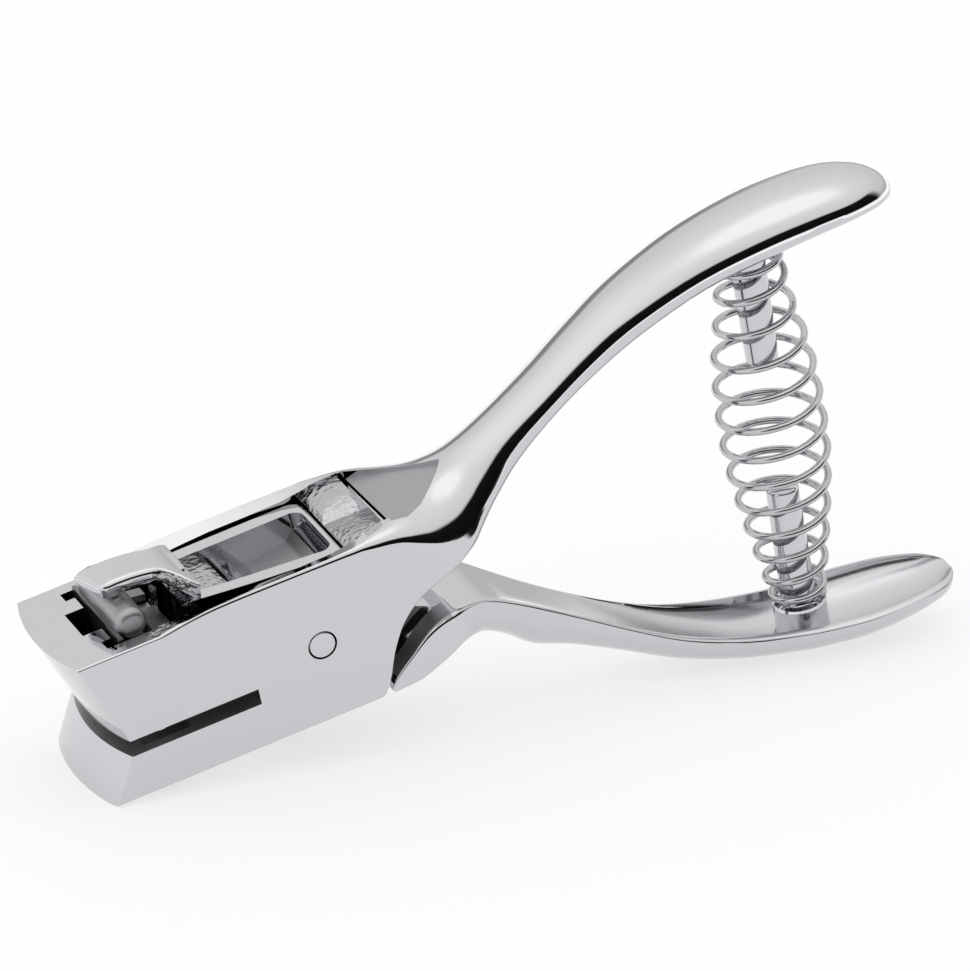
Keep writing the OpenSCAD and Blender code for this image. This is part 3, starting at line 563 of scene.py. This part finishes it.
# inside the spoon the wheel only reaches the front, so the plate turns from bright to hazy along the handle
hazy, tree, shader, place = new_finish("hazy_chrome_plate")
shader.inputs["Base Color"].default_value = as_light("CBCCCE")
shader.inputs["Metallic"].default_value = 1
along = add(tree, "ShaderNodeSeparateXYZ", [("Vector", place)]).outputs["X"]
fade = add(tree, "ShaderNodeMapRange", [("Value", along), ("From Min", 0.001), ("From Max", 0.014), ("To Min", 0.05),
                                        ("To Max", 0.27)], interpolation_type="SMOOTHSTEP").outputs["Result"]
cloud = add(tree, "ShaderNodeTexNoise", [("Vector", place), ("Scale", 160.0), ("Detail", 3.0)]).outputs["Fac"]
patch = add(tree, "ShaderNodeMapRange", [("Value", cloud), ("To Min", 0.85), ("To Max", 1.15)]).outputs["Result"]
veil = add(tree, "ShaderNodeMath", [(0, fade), (1, patch)], operation="MULTIPLY")
tree.links.new(veil.outputs["Value"], shader.inputs["Roughness"])
arm.data.materials.append(hazy)
for i in dished:
    arm.data.polygons[i].material_index = 3
for i in raw:
    arm.data.polygons[i].material_index = 1
for i in milled:
    arm.data.polygons[i].material_index = 2


# ---- Pivot pin ----
# A plain steel pin pressed through both cheeks and ground flush; a fine chamfer leaves a dark ring.

def turned(name, line, x, z, lean, sides=72):
    """A profile of radius and height, spun round its own axis, then stood at x z and leaned to the rear."""
    let_go()
    bpy.ops.mesh.primitive_circle_add(vertices=len(line), radius=1)
    piece = bpy.context.object
    bpy.ops.object.mode_set(mode="EDIT")
    mesh = bmesh.from_edit_mesh(piece.data)
    mesh.verts.ensure_lookup_table()
    for v, (r, h) in zip(mesh.verts, line):
        v.co = (r, 0, h)
    # the side on the axis stays open for the spin
    for e in list(mesh.edges):
        if {e.verts[0].index, e.verts[1].index} == {0, len(line) - 1}:
            mesh.edges.remove(e)
    bmesh.update_edit_mesh(piece.data)
    bpy.ops.mesh.select_all(action="SELECT")
    bpy.ops.mesh.spin(steps=sides, angle=2 * pi, center=(0, 0, 0), axis=(0, 0, 1))
    finish_form(piece)
    piece.data.transform(Matrix.Translation((x, 0, z)) @ lean)
    settle(piece, 28)
    piece.name = name
    return piece


across = Matrix.Rotation(pi / 2, 4, "X")
pivot = turned("pivot", [(0, -10.5), (1.62, -10.5), (1.74, -10.46), (1.9, -10.2), (1.93, -9.9), (1.93, 9.9),
                         (1.9, 10.2), (1.74, 10.46), (1.62, 10.5), (0, 10.5)], 33.7, 11.1, across)
put_down(pivot, "pivot", "frame", "bright_steel", "pivot_pin")
pivot.data.materials.append(plated)


# ---- Punch ----
# Hardened steel: a head block with a trough for the bar, a gap for the claw, and the slot-shaped blade.

head_front, head_low = bar_x - 3.1, 17.05
punch = slab([(8, head_low), (8, 22.35), (8.55, 22.35), (8.75, 22.05), (9.2, 20.68), (12, 20.68), (12.9, 21.35),
              (15.6, 20.95), (15.6, head_low)], -7.9, 7.9)
cut(punch, block((8.95, -1.7, 17.65), (20, 1.7, 30)))
blade = block((9.6, -5.5, 8.75), (12.6, 5.5, 17.4))
for side in (-5.5, 5.5):
    let_go()
    bpy.ops.mesh.primitive_cylinder_add(vertices=64, radius=1.5, depth=8.65, location=(11.1, side, 13.075))
    bpy.ops.object.transform_apply(location=True, rotation=True, scale=True)
    cut(blade, bpy.context.object, "UNION")
cut(punch, blade, "UNION")
soften(punch, 0.18)
put_down(punch, "punch_block", "punch", "hardened_steel", "punch")

ground_steel, tree, shader, place = new_finish("ground_hardened_steel")
shader.inputs["Base Color"].default_value = as_light("808183")
shader.inputs["Metallic"].default_value = 1
# grinding marks 0.15 mm apart, across the block
marks = add(tree, "ShaderNodeTexNoise", [("Vector", add(tree, "ShaderNodeMapping", [("Vector", place), ("Scale", (6000, 300, 300))]).outputs[0]),
                                         ("Scale", 1.0), ("Detail", 2.0)])
shine = add(tree, "ShaderNodeMapRange", [("Value", marks.outputs["Fac"]), ("To Min", 0.22), ("To Max", 0.42)])
tree.links.new(shine.outputs["Result"], shader.inputs["Roughness"])
punch.data.materials.append(ground_steel)


# ---- Cross bar of the punch ----
# A short hardened bar with rounded ends that lies in the trough of the block and is held by the claw.

bar = turned("bar", [(0, -7.45), (0.7, -7.42)] + [(1.1 + 1.05 * cos(radians(q)), -6.3 + 1.1 * sin(radians(q)))
                                                  for q in range(-90, 1, 10)] +
             [(1.1 + 1.05 * cos(radians(q)), 6.3 + 1.1 * sin(radians(q))) for q in range(0, 91, 10)] +
             [(0.7, 7.42), (0, 7.45)], 10.6, 22.86, across)
put_down(bar, "cross_bar", "punch", "hardened_steel", "cross_pin")

satin, tree, shader, place = new_finish("satin_bar_steel")
shader.inputs["Base Color"].default_value = as_light("A4A5A7")
shader.inputs["Metallic"].default_value = 1
# rubbed by the claw in patches of 2 mm
rubbed = add(tree, "ShaderNodeTexNoise", [("Vector", place), ("Scale", 420.0), ("Detail", 3.0)])
shine = add(tree, "ShaderNodeMapRange", [("Value", rubbed.outputs["Fac"]), ("To Min", 0.36), ("To Max", 0.5)])
tree.links.new(shine.outputs["Result"], shader.inputs["Roughness"])
bar.data.materials.append(satin)


# ---- Die plate ----
# Hardened plate in the lower jaw. Its CAD solid is already its shape, so it stays and gets ground steel.

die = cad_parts["die_plate"]
die.data.materials.clear()
die.data.materials.append(ground_steel)


# ---- Spring posts ----
# Two turned steel posts with collars, pressed into the handles, that keep the spring in line.

low_seat = Vector((102.182, 0, -17.308))
top_seat = Vector((105.218, 0, 36.508))
lean_angle = radians(3.2296)
lean_up = Matrix.Rotation(lean_angle, 4, "Y")
lean_down = Matrix.Rotation(lean_angle + pi, 4, "Y")


def post_line(length):
    return [(0, -5.6), (3.64, -5.6), (3.64, -0.25), (3.4, 0), (2.75, 0), (2.5, 0.12), (2.4, 0.4), (2.2, length - 0.45),
            (2.05, length - 0.12), (1.7, length), (0, length)]


low_post = turned("low_post", post_line(17.5), low_seat.x, low_seat.z, lean_up)
put_down(low_post, "lower_post", "lever", "bright_steel", "lower_spring_post")
top_post = turned("top_post", post_line(17), top_seat.x, top_seat.z, lean_down)
put_down(top_post, "upper_post", "frame", "bright_steel", "upper_spring_post")
for post in (low_post, top_post):
    post.data.materials.append(plated)


# ---- Spring ----
# Barrel spring of 1.05 mm plated steel wire, coiled right-handed, with closed ends on both collars.

wire = 1.05
turns = 13.5
widths = [7.6, 10.4, 12.9, 14.7, 14.8, 13.7, 11, 9.6]
tall = (top_seat - low_seat).length - 0.1
dots = 32
total = int(turns * dots)


def pitch_share(k):
    near = min(k, turns - k)
    t = min(max((near - 0.8) / 0.5, 0), 1)
    return 0.38 + (1 + 0.25 * (k / turns - 0.5) - 0.38) * t * t * (3 - 2 * t)


rise = [0]
for k in range(total):
    rise.append(rise[-1] + pitch_share((k + 0.5) / dots))
let_go()
bpy.ops.curve.primitive_nurbs_path_add()
coil = bpy.context.object
coil.data.splines.clear()
strand = coil.data.splines.new("POLY")
strand.points.add(total)
for k in range(total + 1):
    share = rise[k] / rise[-1]
    i = min(int(share * 7), 6)
    radius = between([(w,) for w in widths], i, share * 7 - i)[0] / 2 - wire / 2
    q = radians(-39 + 360 * k / dots)
    strand.points[k].co = (radius * cos(q), radius * sin(q), 0.05 + wire / 2 + share * (tall - wire), 1)
coil.data.dimensions = "3D"
coil.data.bevel_depth = wire / 2
coil.data.bevel_resolution = 3
coil.data.use_fill_caps = True
let_go()
coil.select_set(True)
bpy.context.view_layer.objects.active = coil
bpy.ops.object.convert(target="MESH")
coil = bpy.context.object
coil.data.transform(Matrix.Translation(low_seat) @ lean_up)
settle(coil, 40)
coil.name = coil.data.name = "barrel_spring"
coil.data.transform(stand)
coil.data.materials.clear()
# nickel on drawn wire, a little darker than the castings, with draw marks along the wire
drawn, tree, shader, place = new_finish("nickel_plated_wire")
shader.inputs["Base Color"].default_value = as_light("BBBCBE")
shader.inputs["Metallic"].default_value = 1
marks = add(tree, "ShaderNodeTexNoise", [("Vector", place), ("Scale", 900.0), ("Detail", 2.0)])
shine = add(tree, "ShaderNodeMapRange", [("Value", marks.outputs["Fac"]), ("To Min", 0.05), ("To Max", 0.13)])
tree.links.new(shine.outputs["Result"], shader.inputs["Roughness"])
coil.data.materials.append(drawn)
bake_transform(coil)
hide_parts("main_spring")


# ---- Table, light and camera ----
# A white table top under soft studio light, with a dark gap along the horizon that the chrome mirrors.

let_go()
bpy.ops.mesh.primitive_circle_add(vertices=128, radius=0.34, fill_type="NGON", location=(0, 0, 0))
table = bpy.context.object
table.name = "table"
white, tree, shader, place = new_finish("white_table")
# lit through from below, so that shadows stay faint
shader.inputs["Base Color"].default_value = as_light("98989A")
shader.inputs["Emission Color"].default_value = (1, 1, 1, 1)
shader.inputs["Emission Strength"].default_value = 0.66
shader.inputs["Roughness"].default_value = 0.9
table.data.materials.append(white)

# Round the table: paper that grows brighter with height and to the left, and the dark of the room over
# the table's near edge, which draws the black streaks along the chrome
world = bpy.data.worlds.new("studio")
bpy.context.scene.world = world
world.use_nodes = True
tree = world.node_tree
back = tree.nodes["Background"]
way = add(tree, "ShaderNodeTexCoord").outputs["Generated"]
height = add(tree, "ShaderNodeSeparateXYZ", [("Vector", way)]).outputs["Z"]
level = add(tree, "ShaderNodeMapRange", [("Value", height), ("From Min", -1.0), ("From Max", 1.0)]).outputs["Result"]
paper = add(tree, "ShaderNodeValToRGB", [("Fac", level)])
ramp = paper.color_ramp
ramp.elements[0].position = 0.0
ramp.elements[0].color = (1, 1, 1, 1)
ramp.elements[1].position = 1.0
ramp.elements[1].color = (0.95, 0.95, 0.95, 1)
# sine of the elevation, then the light there
for spot, shade in ((-0.05, 1.0), (0.0, 0.42), (0.1, 0.44), (0.21, 0.54), (0.31, 0.58), (0.5, 0.6), (0.7, 0.66),
                    (0.87, 0.71), (0.93, 0.8), (0.97, 0.95)):
    ramp.elements.new(0.5 + spot / 2).color = (shade, shade, shade, 1)


def toward(x, y, start, end):
    """1 for directions that lean to x y by more than end, 0 for less than start."""
    lean = add(tree, "ShaderNodeVectorMath", [(0, way), (1, (x, y, 0))], operation="DOT_PRODUCT")
    return add(tree, "ShaderNodeMapRange", [("Value", lean.outputs["Value"]), ("From Min", start), ("From Max", end)],
               interpolation_type="SMOOTHSTEP").outputs["Result"]


def times(p, q, operation="MULTIPLY"):
    return add(tree, "ShaderNodeMath", [(0, p), (1, q)], operation=operation).outputs["Value"]


over_edge = add(tree, "ShaderNodeMapRange", [("Value", height), ("From Min", -0.1), ("From Max", -0.06)]).outputs["Result"]
under_lamps = add(tree, "ShaderNodeMapRange", [("Value", height), ("From Min", 0.56), ("From Max", 0.48)]).outputs["Result"]
gloom = times(times(over_edge, under_lamps), toward(0.26, -0.966, 0.3, 0.55))
far_shelf = times(times(add(tree, "ShaderNodeMapRange", [("Value", height), ("From Min", 0.05), ("From Max", 0.09)]).outputs["Result"],
                        add(tree, "ShaderNodeMapRange", [("Value", height), ("From Min", 0.34), ("From Max", 0.26)]).outputs["Result"]),
                  times(toward(-0.1, 0.995, 0.88, 0.97), 0.55))
bright = times(add(tree, "ShaderNodeRGBToBW", [("Color", paper.outputs["Color"])]).outputs["Val"],
               times(times(toward(-1.0, 0.0, 0.2, 0.9), 0.25), 1.0, "ADD"))
shown = times(times(bright, times(1.0, times(gloom, 0.99), "SUBTRACT")), times(1.0, far_shelf, "SUBTRACT"))
light_path = add(tree, "ShaderNodeLightPath")
seen = add(tree, "ShaderNodeMix", [("Factor", light_path.outputs["Is Camera Ray"]), (2, times(shown, 1.53)), (3, 1.0)])
tree.links.new(seen.outputs[0], back.inputs["Color"])

eye = bpy.data.cameras.new("eye")
eye.sensor_fit = "HORIZONTAL"
eye.lens = 424.095
eye.clip_end = 20
viewer = bpy.data.objects.new("eye", eye)
bpy.context.scene.collection.objects.link(viewer)
viewer.location = (-0.547389, -1.218557, 0.691846)
viewer.rotation_euler = (radians(63.6771), radians(-0.9971), radians(-23.6059))
bpy.context.scene.camera = viewer
bpy.context.scene.view_settings.view_transform = "Standard"
